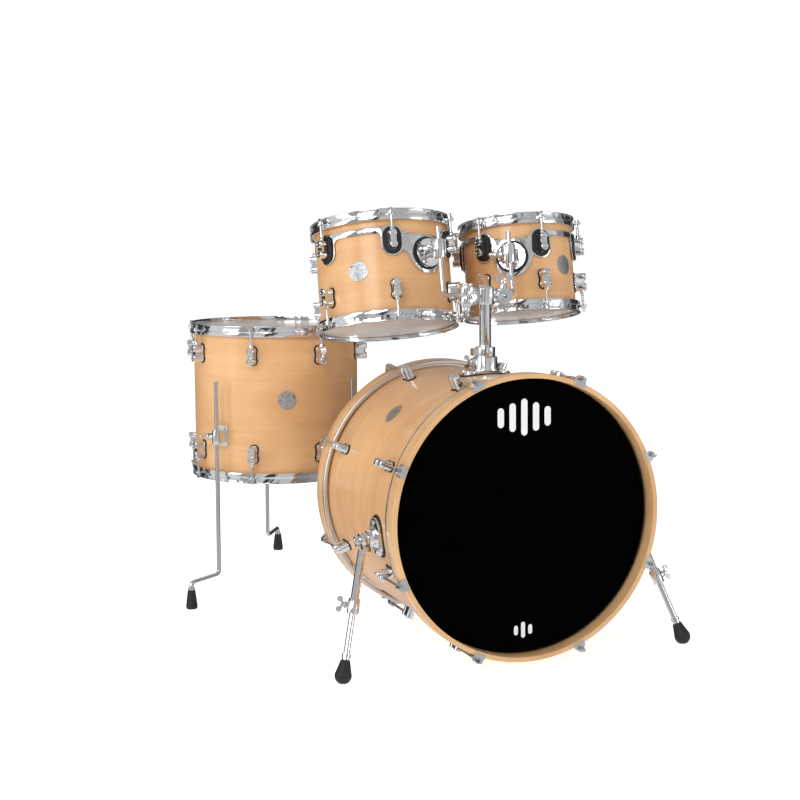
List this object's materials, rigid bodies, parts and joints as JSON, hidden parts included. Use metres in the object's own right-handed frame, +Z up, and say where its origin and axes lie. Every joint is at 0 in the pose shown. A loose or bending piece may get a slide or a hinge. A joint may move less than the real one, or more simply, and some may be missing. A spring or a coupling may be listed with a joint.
{
  "type": "acoustic drum kit",
  "caption": "Natural maple drum kit: bass drum on folding spurs carrying rack toms on a height-adjustable post, with a floor tom standing on its own legs.",
  "frame": {"origin": "floor point below the middle of the kit's bounding box", "axes": "+Z up; +Y from the front of the bass drum to its back (towards the player); +X to the right of someone facing the front of the kit"},
  "size_m": [0.9704, 1.2242, 0.9354],
  "materials": {
    "maple": "natural maple ply under gloss lacquer",
    "hoop_maple": "natural maple under gloss lacquer",
    "chrome": "polished chrome plate",
    "bright_steel": "polished, lightly brushed along the bar",
    "hoop_metal": "plain satin metal channel",
    "badge_metal": "satin round plate",
    "rubber": "matt black moulded rubber",
    "black_film": "smooth satin black polyester film",
    "clear_film": "clear polyester film with a slight haze"
  },
  "bodies": {
    "bass_drum": {"bass_shell": "maple", "bass_hoops": "hoop_maple", "bass_flesh_hoops": "hoop_metal", "bass_front_head": "black_film", "bass_rear_head": "clear_film", "bass_lugs": "chrome", "bass_gaskets": "rubber", "bass_claws": "chrome", "bass_tension_rods": "bright_steel", "bass_badge": "badge_metal", "tom_mount_base": "chrome", "spur_brackets": "chrome"},
    "spur_left_upper": {"spur_left_tube": "chrome"},
    "spur_left_lower": {"spur_left_rod": "bright_steel", "spur_left_foot": "rubber"},
    "spur_right_upper": {"spur_right_tube": "chrome"},
    "spur_right_lower": {"spur_right_rod": "bright_steel", "spur_right_foot": "rubber"},
    "memory_collar": {"memory_collar": "chrome"},
    "post": {"tom_post": "chrome"},
    "post_screw": {"post_wing_screw": "chrome"},
    "arm_12": {"tom12_arm": "bright_steel"},
    "arm_12_screw": {"tom12_arm_wing": "chrome"},
    "tom_12": {"tom12_shell": "maple", "tom12_heads": "clear_film", "tom12_hoops": "chrome", "tom12_lugs": "chrome", "tom12_gaskets": "rubber", "tom12_tension_rods": "bright_steel", "tom12_mount_band": "chrome", "tom12_bracket": "chrome", "tom12_badge": "badge_metal"},
    "tom_12_screw": {"tom12_wing_screw": "chrome"},
    "arm_10": {"tom10_arm": "bright_steel"},
    "arm_10_screw": {"tom10_arm_wing": "chrome"},
    "tom_10": {"tom10_shell": "maple", "tom10_heads": "clear_film", "tom10_hoops": "chrome", "tom10_lugs": "chrome", "tom10_gaskets": "rubber", "tom10_tension_rods": "bright_steel", "tom10_mount_band": "chrome", "tom10_bracket": "chrome", "tom10_badge": "badge_metal"},
    "tom_10_screw": {"tom10_wing_screw": "chrome"},
    "floor_tom": {"floor_tom_shell": "maple", "floor_tom_heads": "clear_film", "floor_tom_hoops": "chrome", "floor_tom_lugs": "chrome", "floor_tom_gaskets": "rubber", "floor_tom_tension_rods": "bright_steel", "floor_tom_badge": "badge_metal", "floor_tom_leg_clamps": "chrome", "floor_tom_wing_screws": "chrome"},
    "floor_leg_1": {"floor_tom_leg_1": "bright_steel", "floor_tom_foot_1": "rubber"},
    "floor_leg_2": {"floor_tom_leg_2": "bright_steel", "floor_tom_foot_2": "rubber"},
    "floor_leg_3": {"floor_tom_leg_3": "bright_steel", "floor_tom_foot_3": "rubber"}
  },
  "joints": [
    {"name": "spur_left_fold", "type": "hinge", "parent": "bass_drum", "child": "spur_left_upper", "pos_m": [-0.22497, -0.45531, 0.2604], "axis": [0.9903, 0.0036, 0.1391], "range_deg": [0, 110]},
    {"name": "spur_left_extend", "type": "slide", "parent": "spur_left_upper", "child": "spur_left_lower", "axis": [-0.2757, -0.3522, -0.8944], "range_m": [-0.05, 0.035]},
    {"name": "spur_right_fold", "type": "hinge", "parent": "bass_drum", "child": "spur_right_upper", "pos_m": [0.39237, -0.45531, 0.2604], "axis": [0.9903, -0.0036, -0.1391], "range_deg": [0, 110]},
    {"name": "spur_right_extend", "type": "slide", "parent": "spur_right_upper", "child": "spur_right_lower", "axis": [0.2757, -0.3522, -0.8944], "range_m": [-0.05, 0.035]},
    {"name": "collar_turn", "type": "hinge", "parent": "bass_drum", "child": "memory_collar", "pos_m": [0.0837, -0.35869, 0.62668], "axis": [0, 0.0262, 0.9997], "range_deg": [-90, 90]},
    {"name": "post_height", "type": "slide", "parent": "bass_drum", "child": "post", "axis": [0, 0.0262, 0.9997], "range_m": [-0.025, 0.04]},
    {"name": "post_screw_turn", "type": "hinge", "parent": "bass_drum", "child": "post_screw", "pos_m": [0.0517, -0.35924, 0.60579], "axis": [-1, 0, 0], "range_deg": [-90, 90]},
    {"name": "arm_12_tilt", "type": "hinge", "parent": "post", "child": "arm_12", "pos_m": [0.0417, -0.35559, 0.74504], "axis": [-0.2113, 0.9774, 0], "range_deg": [-8, 3]},
    {"name": "arm_12_screw_turn", "type": "hinge", "parent": "post", "child": "arm_12_screw", "pos_m": [0.0417, -0.35559, 0.72104], "axis": [0, 0, -1], "range_deg": [-90, 90]},
    {"name": "tom_12_height", "type": "slide", "parent": "arm_12", "child": "tom_12", "axis": [0, 0.2233, 0.9748], "range_m": [-0.02, 0.03]},
    {"name": "tom_12_screw_turn", "type": "hinge", "parent": "tom_12", "child": "tom_12_screw", "pos_m": [-0.00164, -0.25443, 0.84585], "axis": [-0.9455, -0.3174, 0.0727], "range_deg": [-90, 90]},
    {"name": "arm_10_tilt", "type": "hinge", "parent": "post", "child": "arm_10", "pos_m": [0.1257, -0.35559, 0.74504], "axis": [0.5677, 0.8232, 0], "range_deg": [-3, 8]},
    {"name": "arm_10_screw_turn", "type": "hinge", "parent": "post", "child": "arm_10_screw", "pos_m": [0.1257, -0.35559, 0.76904], "axis": [0, 0, 1], "range_deg": [-90, 90]},
    {"name": "tom_10_height", "type": "slide", "parent": "arm_10", "child": "tom_10", "axis": [0, 0.1959, 0.9806], "range_m": [-0.02, 0.03]},
    {"name": "tom_10_screw_turn", "type": "hinge", "parent": "tom_10", "child": "tom_10_screw", "pos_m": [0.17328, -0.22363, 0.83013], "axis": [-0.8572, 0.5051, -0.1009], "range_deg": [-90, 90]},
    {"name": "floor_tom_place", "type": "slide", "parent": "bass_drum", "child": "floor_tom", "axis": [-0.4243, 0.9055, 0], "range_m": [0, 0.25]},
    {"name": "floor_leg_1_height", "type": "slide", "parent": "floor_tom", "child": "floor_leg_1", "axis": [0, 0, 1], "range_m": [-0.08, 0.1]},
    {"name": "floor_leg_2_height", "type": "slide", "parent": "floor_tom", "child": "floor_leg_2", "axis": [0, 0, 1], "range_m": [-0.08, 0.1]},
    {"name": "floor_leg_3_height", "type": "slide", "parent": "floor_tom", "child": "floor_leg_3", "axis": [0, 0, 1], "range_m": [-0.08, 0.1]}
  ]
}
